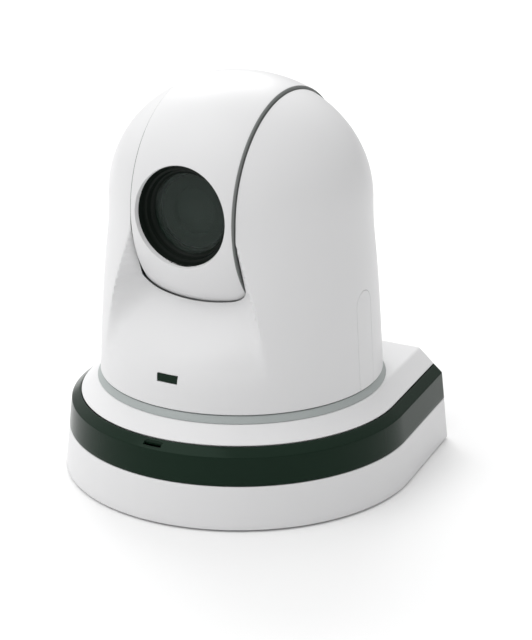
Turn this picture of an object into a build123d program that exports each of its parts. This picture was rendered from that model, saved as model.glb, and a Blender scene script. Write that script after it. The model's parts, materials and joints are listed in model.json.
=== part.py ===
from build123d import *
from math import acos, cos, pi, radians, sin, sqrt, tan
import os

# Pan, tilt and zoom camera. Millimetres, +Z up, front towards -Y.
# The origin is the pan axis at the plane the feet stand on.

# ---------------------------------------------------------------- driving dimensions
# Base: a round front with sides that run back, tapering in, to a flat rear.
BASE_R = 80.0
SIDE_TAPER = 6.7
REAR_Y = 64.3
SHELL_WALL = 2.4
SHELL_BOTTOM_Z = 1.0
SHELL_TOP_Z, SHELL_TOP_R = 19.8, 77.8
BAND_EDGE_Z, BAND_EDGE_R = 32.2, 76.4
BAND_TOP_Z, BAND_TOP_R = 35.7, 72.2
DECK_Z, DECK_R = 42.3, 64.6
PART_LINE = 0.15

# Head: a round skirt that rises into a dome, split by the tilting drum.
HEAD_BOTTOM_Z, HEAD_BOTTOM_R = 45.8, 63.1
TILT_Z = 124.3
DOME_A, DOME_B = 59.0, 52.8
HEAD_WALL = 2.4
HEAD_SPLIT_Y = 34.0
POCKET_X = 25.45
POCKET_WALL = 2.0

# Drum: a crowned barrel about the tilt axis.
DRUM_HALF_W = 25.05
DRUM_R = 53.4
DRUM_EDGE_R = 48.9
DRUM_SHOULDER = 1.5
DRUM_WALL = 2.2
DRUM_GAP = 0.8
DRUM_SPLIT_Y = 24.0

# Lens window in the drum.
LENS_Z = 125.6
WINDOW_R = 21.3
WINDOW_FACE_Y = -47.9
GLASS_R = 17.4

# Scoop below the drum: a ramp and two side walls.
SCOOP_LIP_Y, SCOOP_LIP_Z = -39.3, 87.0
SCOOP_FOOT_Y, SCOOP_FOOT_Z = -62.2, 62.0
SCOOP_BLEND = 9.0

# Drives.
MODULE = 0.8
PRESSURE_ANGLE = 20.0
BACKLASH = 0.1
PAN_GEAR_TEETH, PAN_PINION_TEETH = 90, 18
TILT_GEAR_TEETH, TILT_PINION_TEETH = 66, 18

# Standard hardware.
TRIPOD_HOLE_R = 2.55
M3_HOLE_R = 1.25
BRACKET_X, BRACKET_Y = 84.0, 60.0

os.makedirs("parts", exist_ok=True)


def keep(builder, name):
    """Label a finished piece and write its STEP file."""
    builder.part.label = name
    export_step(builder.part, "parts/" + name + ".step")


# ---------------------------------------------------------------- shared shapes
TILT_AXIS = Axis((0, 0, TILT_Z), (1, 0, 0))
SIDE_NORMAL = Vector(cos(radians(SIDE_TAPER)), sin(radians(SIDE_TAPER)), 0)
SIDE_PLANE = Plane(
    origin=(0, 0, 0),
    x_dir=SIDE_NORMAL,
    z_dir=(SIDE_NORMAL.Y, -SIDE_NORMAL.X, 0),
)


def base_ring(points, rear_y=REAR_Y):
    """The base's plan swept with a half section of (radius, height) points."""
    with BuildPart() as ring:
        with BuildSketch(Plane.XZ):
            with BuildLine():
                Polyline(*points, close=True)
            make_face()
        revolve(axis=Axis.Z)
        with BuildSketch(SIDE_PLANE) as side:
            with BuildLine():
                Polyline(*points, close=True)
            make_face()
        extrude(side.sketch, amount=-2 * BASE_R)
        mirror(about=Plane.YZ)
        split(bisect_by=Plane.XZ.offset(-rear_y), keep=Keep.TOP)
    return ring.part


def base_radius(z):
    """Outer radius of the lower shell and band at a height."""
    if z <= SHELL_TOP_Z:
        return BASE_R + (SHELL_TOP_R - BASE_R) * z / SHELL_TOP_Z
    share = (z - SHELL_TOP_Z) / (BAND_EDGE_Z - SHELL_TOP_Z)
    return SHELL_TOP_R + (BAND_EDGE_R - SHELL_TOP_R) * share


def base_slab(radius, low, high, rear_y):
    """A straight-sided slab in the base's plan."""
    return base_ring([(0, low), (radius, low), (radius, high), (0, high)], rear_y)


def head_envelope(inset=0.0, bottom=HEAD_BOTTOM_Z):
    """Outside of the head: round at the skirt, elliptical at the tilt axis, domed above."""
    a, b = DOME_A - inset, DOME_B - inset
    skirt = HEAD_BOTTOM_R - inset
    with BuildPart() as envelope:
        with BuildSketch(Plane.XY.offset(bottom)):
            Ellipse(skirt, skirt)
        with BuildSketch(Plane.XY.offset(72.0)):
            Ellipse(skirt - 1.6, skirt - 1.6)
        with BuildSketch(Plane.XY.offset(100.0)):
            Ellipse(a + 1.0, b + 4.0)
        with BuildSketch(Plane.XY.offset(115.0)):
            Ellipse(a + 0.15, b + 0.7)
        with BuildSketch(Plane.XY.offset(TILT_Z)):
            Ellipse(a, b)
        loft()
        with BuildSketch(Plane.XY.offset(TILT_Z)) as half:
            with BuildLine():
                EllipticalCenterArc((0, 0), a, b, start_angle=0, arc_size=180)
                Line((-a, 0), (a, 0))
            make_face()
        revolve(half.sketch, axis=TILT_AXIS, revolution_arc=180)
    return envelope.part


def crown_radius(x, grow=0.0):
    """Drum radius at a distance from its middle."""
    flat = (DRUM_EDGE_R / DRUM_R) ** 2
    reach = DRUM_HALF_W / sqrt(1 - flat)
    return DRUM_R * sqrt(1 - (x / reach) ** 2) + grow


def drum_solid(grow=0.0, half_width=DRUM_HALF_W, shoulder=DRUM_SHOULDER):
    """The crowned barrel, grown or shrunk."""
    edge = crown_radius(half_width, grow)
    middle = crown_radius(0, grow)
    with BuildPart() as barrel:
        with BuildSketch(Plane.XZ.offset(0)) as section:
            with BuildLine():
                ThreePointArc(
                    (-half_width, TILT_Z + edge), (0, TILT_Z + middle), (half_width, TILT_Z + edge)
                )
                Polyline(
                    (half_width, TILT_Z + edge),
                    (half_width, TILT_Z),
                    (-half_width, TILT_Z),
                    (-half_width, TILT_Z + edge),
                )
            make_face()
            if shoulder > 0:
                fillet(section.vertices().group_by(Axis.Y)[-1], shoulder)
        revolve(axis=TILT_AXIS)
    return barrel.part


def scoop_cutter(grow=0.0):
    """The hollow below the drum: above a ramp, between two leaning side walls."""
    ramp_run = Vector(0, SCOOP_FOOT_Y - SCOOP_LIP_Y, SCOOP_FOOT_Z - SCOOP_LIP_Z).normalized()
    ramp_up = Vector(0, ramp_run.Z, -ramp_run.Y)
    lip = Vector(0, SCOOP_LIP_Y, SCOOP_LIP_Z) - ramp_up * grow
    wall_out = Vector(0.748, 0.624, 0.223).normalized()
    corner = Vector(DRUM_HALF_W, -37.0, 89.0) + wall_out * grow
    with BuildPart() as cutter:
        with Locations(Plane(origin=lip, x_dir=(1, 0, 0), z_dir=ramp_up)):
            Box(140, 110, 40, align=(Align.CENTER, Align.CENTER, Align.MIN))
        right = Plane(origin=corner, z_dir=wall_out)
        left = Plane(
            origin=(-corner.X, corner.Y, corner.Z),
            z_dir=(-wall_out.X, wall_out.Y, wall_out.Z),
        )
        split(bisect_by=right, keep=Keep.BOTTOM)
        split(bisect_by=left, keep=Keep.BOTTOM)
        creases = [
            e for e in cutter.edges()
            if abs(e.center().X) > 5 and abs(e.tangent_at(0.5).X) < 0.9
            and lies_on(e, Plane(origin=lip, z_dir=ramp_up))
        ]
        fillet(creases, SCOOP_BLEND + grow)
    return cutter.part


def lies_on(edge, plane):
    """Whether an edge's middle and ends lie on a plane."""
    return all(abs((edge @ t - plane.origin).dot(plane.z_dir)) < 0.01 for t in (0, 0.5, 1))


def involute(angle):
    return tan(angle) - angle


def gear_face(teeth, phase):
    """Spur gear outline, with a tooth's middle at the phase angle in degrees."""
    pitch_r = MODULE * teeth / 2
    base_r = pitch_r * cos(radians(PRESSURE_ANGLE))
    tip_r = pitch_r + 0.9 * MODULE
    root_r = pitch_r - 1.2 * MODULE
    half_tooth = pi / 2 / teeth - BACKLASH / 2 / pitch_r + involute(radians(PRESSURE_ANGLE))
    flank = [max(root_r, base_r), (base_r + pitch_r) / 2, pitch_r, tip_r]
    side = [(root_r, half_tooth)]
    for r in flank:
        if r > root_r:
            side.append((r, half_tooth - involute(acos(min(1.0, base_r / r)))))
    outline = []
    for tooth in range(teeth):
        middle = radians(phase) + 2 * pi * tooth / teeth
        for r, half in side:
            outline.append((r * cos(middle - half), r * sin(middle - half)))
        for r, half in reversed(side):
            outline.append((r * cos(middle + half), r * sin(middle + half)))
    Polygon(*outline, align=None)


def cylinder_x(radius, x_low, x_high, y=0.0, z=TILT_Z, mode=Mode.ADD):
    """A round bar along X."""
    with Locations(Plane(origin=(x_low, y, z), x_dir=(0, 1, 0), z_dir=(1, 0, 0))):
        Cylinder(radius, x_high - x_low, align=(Align.CENTER, Align.CENTER, Align.MIN), mode=mode)


def cylinder_y(radius, y_low, y_high, x=0.0, z=LENS_Z, mode=Mode.ADD):
    """A round bar along Y."""
    with Locations(Plane(origin=(x, y_low, z), x_dir=(1, 0, 0), z_dir=(0, 1, 0))):
        Cylinder(radius, y_high - y_low, align=(Align.CENTER, Align.CENTER, Align.MIN), mode=mode)


def cylinder_z(radius, low, high, x=0.0, y=0.0, mode=Mode.ADD):
    """A round bar along Z."""
    with Locations((x, y, low)):
        Cylinder(radius, high - low, align=(Align.CENTER, Align.CENTER, Align.MIN), mode=mode)


def block(x, y, z, mode=Mode.ADD):
    """A box between two coordinates on each axis."""
    with Locations((x[0], y[0], z[0])):
        Box(
            x[1] - x[0], y[1] - y[0], z[1] - z[0],
            align=(Align.MIN, Align.MIN, Align.MIN), mode=mode,
        )


def corners(half_x, half_y, centre_y=0.0):
    """Four corner points round a centre on the Y axis."""
    return [(sx * half_x, centre_y + sy * half_y) for sx in (-1, 1) for sy in (-1, 1)]


# ---------------------------------------------------------------- base: shells
BAY_X, BAY_LOW_Z, BAY_HIGH_Z, BAY_FLOOR_Y = 58.0, 5.0, 30.0, 54.5
BAY_WALL = 1.6
bay = (
    (-BAY_X - BAY_WALL, BAY_X + BAY_WALL),
    (BAY_FLOOR_Y - 2.0, REAR_Y + 5.0),
    (BAY_LOW_Z - BAY_WALL, BAY_HIGH_Z + BAY_WALL),
)

PLATE_LOW_Z, PLATE_HIGH_Z = 2.0, 4.0
BOSS_R = 71.6
boss_points = [
    (BOSS_R * cos(radians(angle)), BOSS_R * sin(radians(angle))) for angle in (175, 220, 270, 320, 5)
]

shell_outer = base_ring([
    (0, SHELL_BOTTOM_Z), (base_radius(SHELL_BOTTOM_Z), SHELL_BOTTOM_Z),
    (SHELL_TOP_R, SHELL_TOP_Z), (0, SHELL_TOP_Z),
])
shell_inner = base_slab(SHELL_TOP_R - SHELL_WALL, 0, SHELL_TOP_Z + 1, REAR_Y - SHELL_WALL)
with BuildPart() as lower_shell:
    add(shell_outer)
    add(shell_inner, mode=Mode.SUBTRACT)
    block(*bay, mode=Mode.SUBTRACT)
    for x, y in boss_points:
        cylinder_z(4.2, PLATE_HIGH_Z + 0.02, 14.0, x, y)
    for x, y in boss_points:
        cylinder_z(1.52, 0, 12.0, x, y, mode=Mode.SUBTRACT)
keep(lower_shell, "lower_shell")

band_low = SHELL_TOP_Z + PART_LINE
band_outer = base_ring([
    (0, band_low), (base_radius(band_low), band_low), (BAND_EDGE_R, BAND_EDGE_Z),
    (BAND_TOP_R, BAND_TOP_Z), (0, BAND_TOP_Z),
])
band_inner = base_ring([
    (0, 0), (BAND_EDGE_R - SHELL_WALL, 0), (BAND_EDGE_R - SHELL_WALL, BAND_EDGE_Z - 1.2),
    (BAND_TOP_R - SHELL_WALL, BAND_TOP_Z - 1.2), (BAND_TOP_R - SHELL_WALL, DECK_Z), (0, DECK_Z),
], REAR_Y - SHELL_WALL)
with BuildPart() as smoked_band:
    add(band_outer)
    add(band_inner, mode=Mode.SUBTRACT)
    block(*bay, mode=Mode.SUBTRACT)
    block((-4.4, 4.4), (-80.0, -66.0), (33.1, 34.9), mode=Mode.SUBTRACT)
keep(smoked_band, "smoked_band")

deck_low = BAND_TOP_Z + PART_LINE
deck_slope = (BAND_TOP_R - DECK_R) / (DECK_Z - BAND_TOP_Z)
deck_outer = base_ring([
    (0, deck_low), (BAND_TOP_R - deck_slope * PART_LINE, deck_low), (DECK_R, DECK_Z), (0, DECK_Z),
])
deck_inner = base_ring([
    (0, deck_low - 1), (BAND_TOP_R - SHELL_WALL - 1, deck_low - 1),
    (BAND_TOP_R - SHELL_WALL - 1, deck_low), (DECK_R - SHELL_WALL, DECK_Z - 2.2),
    (0, DECK_Z - 2.2),
], REAR_Y - SHELL_WALL)
DECK_HOLE_R = 59.0
with BuildPart() as upper_cover:
    add(deck_outer)
    add(deck_inner, mode=Mode.SUBTRACT)
    cylinder_z(DECK_HOLE_R, DECK_Z - 5, DECK_Z + 1, mode=Mode.SUBTRACT)
keep(upper_cover, "upper_cover")

# The grey ring stands on the deck and rises to just under the head's skirt.
RING_TOP_Z = HEAD_BOTTOM_Z - 0.5
with BuildPart() as neck_ring:
    with BuildSketch(Plane.XZ):
        with BuildLine():
            Polyline(
                (56.0, DECK_Z - 2.0), (DECK_HOLE_R - 0.1, DECK_Z - 2.0), (DECK_HOLE_R - 0.1, DECK_Z),
                (DECK_R, DECK_Z), (62.8, RING_TOP_Z), (56.0, RING_TOP_Z), close=True,
            )
        make_face()
    revolve(axis=Axis.Z)
keep(neck_ring, "neck_ring")

with BuildPart() as ir_receiver_window:
    block((-4.3, 4.3), (-73.6, -71.0), (33.2, 34.8))
keep(ir_receiver_window, "ir_receiver_window")

# ---------------------------------------------------------------- base: floor
FOOT_POINTS = corners(44.0, 42.0, -2.0)
bracket_points = corners(BRACKET_X / 2, BRACKET_Y / 2)
floor_slab = base_slab(SHELL_TOP_R - SHELL_WALL - 0.3, PLATE_LOW_Z, PLATE_HIGH_Z, REAR_Y - SHELL_WALL - 0.3)
with BuildPart() as bottom_plate:
    add(floor_slab)
    block((-BAY_X - 3, BAY_X + 3), (BAY_FLOOR_Y - 4, REAR_Y), (0, 6), mode=Mode.SUBTRACT)
    cylinder_z(7.0, 0, 6, mode=Mode.SUBTRACT)
    with Locations(*[(x, y, PLATE_HIGH_Z) for x, y in bracket_points]):
        Cylinder(3.2, 4.0, align=(Align.CENTER, Align.CENTER, Align.MIN))
    for x, y in bracket_points:
        cylinder_z(M3_HOLE_R, 0, PLATE_HIGH_Z + 5, x, y, mode=Mode.SUBTRACT)
    for x, y in FOOT_POINTS:
        cylinder_z(6.1, 0, PLATE_LOW_Z + 0.8, x, y, mode=Mode.SUBTRACT)
    for x, y in boss_points:
        cylinder_z(1.6, 0, PLATE_HIGH_Z + 1, x, y, mode=Mode.SUBTRACT)
        cylinder_z(2.9, 0, PLATE_LOW_Z + 1.0, x, y, mode=Mode.SUBTRACT)
    with Locations((0, -42, 3)):
        with GridLocations(9.0, 6.0, 5, 4):
            Box(6.5, 2.0, 6.0, mode=Mode.SUBTRACT)
keep(bottom_plate, "bottom_plate")

with BuildPart() as base_screws:
    for x, y in boss_points:
        cylinder_z(2.8, PLATE_LOW_Z + 0.1, PLATE_LOW_Z + 0.98, x, y)
        cylinder_z(1.5, PLATE_LOW_Z + 0.1, 11.0, x, y)
        with Locations((x, y, PLATE_LOW_Z)):
            Box(2.6, 0.6, 1.0, mode=Mode.SUBTRACT)
            Box(0.6, 2.6, 1.0, mode=Mode.SUBTRACT)
keep(base_screws, "base_screws")

with BuildPart() as tripod_socket:
    cylinder_z(6.9, 0, 9.0)
    cylinder_z(10.0, PLATE_HIGH_Z + 0.02, 6.0)
    cylinder_z(TRIPOD_HOLE_R, -1, 8.0, mode=Mode.SUBTRACT)
keep(tripod_socket, "tripod_socket")

with BuildPart() as rubber_feet:
    for x, y in FOOT_POINTS:
        cylinder_z(6.0, 0, PLATE_LOW_Z + 0.78, x, y)
    fillet(rubber_feet.edges().group_by(Axis.Z)[0], 0.4)
keep(rubber_feet, "rubber_feet")

# ---------------------------------------------------------------- base: rear bay
PANEL_Y = BAY_FLOOR_Y
LAN_X, RS_X, HDMI_X, SDI_X, MIC_X, DC_X = -44.0, -21.0, 0.0, 18.0, 32.0, 47.0
JACK_Z = 15.5
with BuildPart() as rear_panel:
    block((-BAY_X - 1.5, BAY_X + 1.5), (PANEL_Y - 1.9, REAR_Y - 0.1), (BAY_LOW_Z - 1.5, BAY_HIGH_Z + 1.5))
    block((-BAY_X, BAY_X), (PANEL_Y, REAR_Y + 1), (BAY_LOW_Z, BAY_HIGH_Z), mode=Mode.SUBTRACT)
    for x in (LAN_X, RS_X):
        block((x - 8.2, x + 8.2), (PANEL_Y - 5, PANEL_Y + 1), (8.4, 22.4), mode=Mode.SUBTRACT)
    block((HDMI_X - 8.0, HDMI_X + 8.0), (PANEL_Y - 5, PANEL_Y + 1), (11.4, 18.2), mode=Mode.SUBTRACT)
    cylinder_y(5.2, PANEL_Y - 5, PANEL_Y + 1, SDI_X, JACK_Z, mode=Mode.SUBTRACT)
    cylinder_y(3.2, PANEL_Y - 5, PANEL_Y + 1, MIC_X, JACK_Z, mode=Mode.SUBTRACT)
    block((DC_X - 5.2, DC_X + 5.2), (PANEL_Y - 5, PANEL_Y + 1), (9.8, 20.6), mode=Mode.SUBTRACT)
    block((DC_X - 4.0, DC_X + 4.0), (PANEL_Y - 5, PANEL_Y + 1), (24.0, 27.0), mode=Mode.SUBTRACT)
keep(rear_panel, "rear_panel")

for jack_name, jack_x in (("lan_jack", LAN_X), ("control_jack", RS_X)):
    with BuildPart() as jack:
        block((jack_x - 8.0, jack_x + 8.0), (PANEL_Y - 16, PANEL_Y + 1.2), (8.6, 22.2))
        block((jack_x - 6.0, jack_x + 6.0), (PANEL_Y - 11, PANEL_Y + 2), (11.0, 18.4), mode=Mode.SUBTRACT)
        block((jack_x - 3.0, jack_x + 3.0), (PANEL_Y - 11, PANEL_Y + 2), (18.0, 20.6), mode=Mode.SUBTRACT)
    keep(jack, jack_name)

with BuildPart() as jack_contacts:
    for jack_x in (LAN_X, RS_X):
        for pin in range(8):
            centre = jack_x + (pin - 3.5) * 1.02
            block((centre - 0.25, centre + 0.25), (PANEL_Y - 10.9, PANEL_Y - 3), (11.05, 11.6))
keep(jack_contacts, "jack_contacts")

with BuildPart() as hdmi_jack:
    with BuildSketch(Plane.XZ.offset(-(PANEL_Y + 0.8))):
        with BuildLine():
            Polyline(
                (HDMI_X - 7.6, 17.9), (HDMI_X - 7.6, 13.8), (HDMI_X - 5.6, 11.7),
                (HDMI_X + 5.6, 11.7), (HDMI_X + 7.6, 13.8), (HDMI_X + 7.6, 17.9), close=True,
            )
        make_face()
    extrude(amount=12)
    with BuildSketch(Plane.XZ.offset(-(PANEL_Y + 0.8))):
        with BuildLine():
            Polyline(
                (HDMI_X - 7.0, 17.3), (HDMI_X - 7.0, 14.1), (HDMI_X - 5.3, 12.3),
                (HDMI_X + 5.3, 12.3), (HDMI_X + 7.0, 14.1), (HDMI_X + 7.0, 17.3), close=True,
            )
        make_face()
    extrude(amount=9, mode=Mode.SUBTRACT)
    block((HDMI_X - 5.0, HDMI_X + 5.0), (PANEL_Y - 9, PANEL_Y), (14.9, 16.2))
keep(hdmi_jack, "hdmi_jack")

SDI_TIP_Y = REAR_Y - 0.6
with BuildPart() as sdi_connector:
    cylinder_y(5.0, PANEL_Y - 8, PANEL_Y + 1.5, SDI_X, JACK_Z)
    cylinder_y(4.8, PANEL_Y, SDI_TIP_Y, SDI_X, JACK_Z)
    cylinder_y(4.05, PANEL_Y - 2, SDI_TIP_Y + 1, SDI_X, JACK_Z, mode=Mode.SUBTRACT)
    with Locations((SDI_X, SDI_TIP_Y - 3.0, JACK_Z)):
        Cylinder(0.95, 11.0)
    cylinder_y(4.05, PANEL_Y - 2, SDI_TIP_Y + 1, SDI_X, JACK_Z, mode=Mode.SUBTRACT)
keep(sdi_connector, "sdi_connector")

with BuildPart() as sdi_insulator:
    cylinder_y(3.95, PANEL_Y - 1.9, PANEL_Y + 1.0, SDI_X, JACK_Z)
    cylinder_y(2.4, PANEL_Y + 1.0, SDI_TIP_Y - 1.5, SDI_X, JACK_Z)
    cylinder_y(0.7, PANEL_Y - 1.0, SDI_TIP_Y, SDI_X, JACK_Z, mode=Mode.SUBTRACT)
keep(sdi_insulator, "sdi_insulator")

with BuildPart() as mic_jack:
    cylinder_y(3.1, PANEL_Y - 12, PANEL_Y + 1.0, MIC_X, JACK_Z)
    cylinder_y(1.8, PANEL_Y - 11, PANEL_Y + 2.0, MIC_X, JACK_Z, mode=Mode.SUBTRACT)
keep(mic_jack, "mic_jack")

with BuildPart() as dc_inlet:
    block((DC_X - 5.0, DC_X + 5.0), (PANEL_Y - 12, PANEL_Y + 1.0), (10.0, 20.4))
    cylinder_y(3.2, PANEL_Y - 9, PANEL_Y + 2, DC_X, JACK_Z, mode=Mode.SUBTRACT)
    cylinder_y(1.0, PANEL_Y - 10, PANEL_Y, DC_X, JACK_Z)
keep(dc_inlet, "dc_inlet")

SWITCH_TRAVEL = 2.0
with BuildPart() as mode_switch_body:
    block((DC_X - 5.5, DC_X + 5.5), (PANEL_Y - 6.5, PANEL_Y - 2.0), (22.8, 28.2))
    block((DC_X - 3.6, DC_X + 3.6), (PANEL_Y - 5.5, PANEL_Y), (24.3, 26.7), mode=Mode.SUBTRACT)
keep(mode_switch_body, "mode_switch_body")

with BuildPart() as mode_switch_slider:
    block((DC_X - 3.4, DC_X - 1.0), (PANEL_Y - 5.3, PANEL_Y + 1.2), (24.5, 26.5))
keep(mode_switch_slider, "mode_switch_slider")

# ---------------------------------------------------------------- base: electronics and pan drive
BOARD_Z = 8.2
board_slab = base_slab(66.0, BOARD_Z - 1.6, BOARD_Z, 50.0)
standoff_points = [(-60, -14), (60, -14), (-56, 42), (56, 42)]
leg_points = [(26, -50), (-26, -50), (-58, 22), (54, 16)]
with BuildPart() as main_board:
    add(board_slab)
    cylinder_z(11.0, 0, 20, mode=Mode.SUBTRACT)
    for x, y in bracket_points:
        cylinder_z(4.2, 0, 20, x, y, mode=Mode.SUBTRACT)
    for x, y in leg_points:
        cylinder_z(6.6, 0, 20, x, y, mode=Mode.SUBTRACT)
keep(main_board, "main_board")

with BuildPart() as board_standoffs:
    for x, y in standoff_points:
        cylinder_z(2.6, PLATE_HIGH_Z, BOARD_Z - 1.6, x, y)
keep(board_standoffs, "board_standoffs")

with BuildPart() as processor_heatsink:
    block((20, 48), (-34, -16), (BOARD_Z + 0.05, BOARD_Z + 3))
    for fin in range(7):
        x = 20 + 4.5 * fin
        block((x, x + 1.0), (-34, -16), (BOARD_Z + 2, BOARD_Z + 12))
keep(processor_heatsink, "processor_heatsink")

FRAME_TOP_Z = 26.0
PAN_SHAFT_R = 11.0
BEARING_OUT_R, BEARING_LOW_Z, BEARING_HIGH_Z = 16.0, 26.2, 33.2
BEARING_SEAT_R = BEARING_OUT_R + 0.02
PAN_GEAR_Z = (35.0, 39.0)
with BuildPart() as pan_frame:
    cylinder_z(22.0, FRAME_TOP_Z - 3, BEARING_HIGH_Z)
    for x, y in leg_points:
        reach = sqrt(x * x + y * y)
        with Locations(Plane(origin=(0, 0, FRAME_TOP_Z - 3), x_dir=(x, y, 0), z_dir=(0, 0, 1))):
            Box(reach, 12.0, 3.0, align=(Align.MIN, Align.CENTER, Align.MIN))
        cylinder_z(6.0, PLATE_HIGH_Z, FRAME_TOP_Z, x, y)
    cylinder_z(BEARING_SEAT_R, FRAME_TOP_Z, BEARING_HIGH_Z + 1, mode=Mode.SUBTRACT)
    cylinder_z(13.5, FRAME_TOP_Z - 5, FRAME_TOP_Z + 1, mode=Mode.SUBTRACT)
keep(pan_frame, "pan_frame")

race_mid = (BEARING_OUT_R + PAN_SHAFT_R) / 2
with BuildPart() as pan_bearing_outer:
    cylinder_z(BEARING_OUT_R, BEARING_LOW_Z, BEARING_HIGH_Z)
    cylinder_z(race_mid + 0.9, BEARING_LOW_Z - 1, BEARING_HIGH_Z + 1, mode=Mode.SUBTRACT)
keep(pan_bearing_outer, "pan_bearing_outer")

with BuildPart() as pan_bearing_balls:
    with PolarLocations(race_mid, 16):
        with Locations((0, 0, (BEARING_LOW_Z + BEARING_HIGH_Z) / 2)):
            Sphere(0.85)
keep(pan_bearing_balls, "pan_bearing_balls")

PAN_CENTRES = MODULE * (PAN_GEAR_TEETH + PAN_PINION_TEETH) / 2
PAN_MOTOR_ANGLE = 190.0
pan_motor_x = PAN_CENTRES * cos(radians(PAN_MOTOR_ANGLE))
pan_motor_y = PAN_CENTRES * sin(radians(PAN_MOTOR_ANGLE))
with BuildPart() as pan_motor:
    cylinder_z(12.5, 14.0, 31.0, pan_motor_x, pan_motor_y)
    cylinder_z(4.0, 31.0, 32.5, pan_motor_x, pan_motor_y)
    cylinder_z(1.55, 28.0, 33.5, pan_motor_x, pan_motor_y, mode=Mode.SUBTRACT)
keep(pan_motor, "pan_motor")

with BuildPart() as pan_motor_bracket:
    cylinder_z(15.0, 11.0, 24.0, pan_motor_x, pan_motor_y)
    cylinder_z(12.7, 13.98, 25.0, pan_motor_x, pan_motor_y, mode=Mode.SUBTRACT)
    for side in (-1, 1):
        cylinder_z(2.5, BOARD_Z + 0.02, 11.0, pan_motor_x + side * 9, pan_motor_y)
keep(pan_motor_bracket, "pan_motor_bracket")

with BuildPart() as pan_pinion:
    with BuildSketch(Plane.XY.offset(34.5)):
        with Locations((pan_motor_x, pan_motor_y)):
            gear_face(PAN_PINION_TEETH, PAN_MOTOR_ANGLE + 180 + 180 / PAN_PINION_TEETH)
    extrude(amount=5)
    cylinder_z(1.5, 28.5, 40.0, pan_motor_x, pan_motor_y)
keep(pan_pinion, "pan_pinion")

# ---------------------------------------------------------------- head: turning parts
with BuildPart() as pan_spindle:
    cylinder_z(PAN_SHAFT_R - 0.05, 20.0, 44.0)
    cylinder_z(8.0, 19.0, 45.0, mode=Mode.SUBTRACT)
keep(pan_spindle, "pan_spindle")

with BuildPart() as pan_bearing_inner:
    cylinder_z(race_mid - 0.9, BEARING_LOW_Z, BEARING_HIGH_Z)
    cylinder_z(PAN_SHAFT_R - 0.03, BEARING_LOW_Z - 1, BEARING_HIGH_Z + 1, mode=Mode.SUBTRACT)
keep(pan_bearing_inner, "pan_bearing_inner")

with BuildPart() as pan_gear:
    with BuildSketch(Plane.XY.offset(PAN_GEAR_Z[0])):
        gear_face(PAN_GEAR_TEETH, PAN_MOTOR_ANGLE)
    extrude(amount=PAN_GEAR_Z[1] - PAN_GEAR_Z[0])
    cylinder_z(15.0, PAN_GEAR_Z[0], 44.0)
    cylinder_z(PAN_SHAFT_R - 0.03, 30, 50, mode=Mode.SUBTRACT)
    with PolarLocations(24.0, 6, start_angle=PAN_MOTOR_ANGLE + 30):
        with Locations((0, 0, PAN_GEAR_Z[0] - 1)):
            Cylinder(5.0, 8.0, align=(Align.CENTER, Align.CENTER, Align.MIN), mode=Mode.SUBTRACT)
keep(pan_gear, "pan_gear")

TURNTABLE_Z = (46.0, 49.0)
with BuildPart() as turntable:
    cylinder_z(57.0, *TURNTABLE_Z)
    cylinder_z(18.0, 44.0, TURNTABLE_Z[0])
    cylinder_z(8.0, 40.0, 50.0, mode=Mode.SUBTRACT)
    for side in (-1, 1):
        block((side * 40 - 6, side * 40 + 6), (24, 34), (40, 50), mode=Mode.SUBTRACT)
keep(turntable, "turntable")

# ---------------------------------------------------------------- head: covers
head_outer = head_envelope()
head_inner = head_envelope(HEAD_WALL, HEAD_BOTTOM_Z - 1)
pocket = drum_solid(DRUM_GAP, POCKET_X, 0)
pocket_jacket = drum_solid(DRUM_GAP + POCKET_WALL, POCKET_X + POCKET_WALL, 0)
scoop = scoop_cutter()
scoop_jacket = scoop_cutter(HEAD_WALL)
HUB_HOLE_R = 9.0
INLAY_HALF_W, INLAY_TOP_Z, INLAY_DEPTH = 6.4, 89.4, 1.0

with BuildPart() as head_cavity:
    add(head_inner)
    add(pocket_jacket, mode=Mode.SUBTRACT)
    add(scoop_jacket, mode=Mode.SUBTRACT)



def side_arch(side, gap, beyond, depth):
    """A slab with an arch's outline, from a depth below the head's surface out past one side."""
    with BuildPart() as slab:
        with BuildSketch(Plane.YZ) as arch:
            with Locations((0, INLAY_TOP_Z - INLAY_HALF_W)):
                Circle(INLAY_HALF_W - gap)
            with Locations((0, HEAD_BOTTOM_Z - beyond)):
                Rectangle(
                    2 * (INLAY_HALF_W - gap), INLAY_TOP_Z - INLAY_HALF_W - HEAD_BOTTOM_Z + beyond,
                    align=(Align.CENTER, Align.MIN),
                )
        extrude(arch.sketch, amount=side * 80)
        add(head_envelope(depth, HEAD_BOTTOM_Z - 2), mode=Mode.SUBTRACT)
    return slab.part


LAMP_X, LAMP_Z = 5.0, (57.0, 60.6)
with BuildPart() as head_body:
    add(head_outer)
    add(scoop, mode=Mode.SUBTRACT)
    add(pocket, mode=Mode.SUBTRACT)
    add(head_cavity.part, mode=Mode.SUBTRACT)
    cylinder_x(HUB_HOLE_R, -POCKET_X - 3, POCKET_X + 3, mode=Mode.SUBTRACT)
    for side in (-1, 1):
        add(side_arch(side, 0, 1.0, INLAY_DEPTH + 0.03), mode=Mode.SUBTRACT)
print("head body", head_body.part.is_valid, len(head_body.part.solids()), head_body.part.volume)
with BuildPart() as head_housing:
    add(head_body.part)
    split(bisect_by=Plane.XZ.offset(-HEAD_SPLIT_Y), keep=Keep.TOP)
    block((-LAMP_X, LAMP_X), (-70, -50), LAMP_Z, mode=Mode.SUBTRACT)
keep(head_housing, "head_housing")

with BuildPart() as head_rear_cover:
    add(head_body.part)
    split(bisect_by=Plane.XZ.offset(-HEAD_SPLIT_Y - PART_LINE), keep=Keep.BOTTOM)
keep(head_rear_cover, "head_rear_cover")

with BuildPart() as side_inlays:
    for side in (-1, 1):
        add(side_arch(side, 0.12, 0.0, INLAY_DEPTH))
    add(head_outer, mode=Mode.INTERSECT)
keep(side_inlays, "side_inlays")

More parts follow.
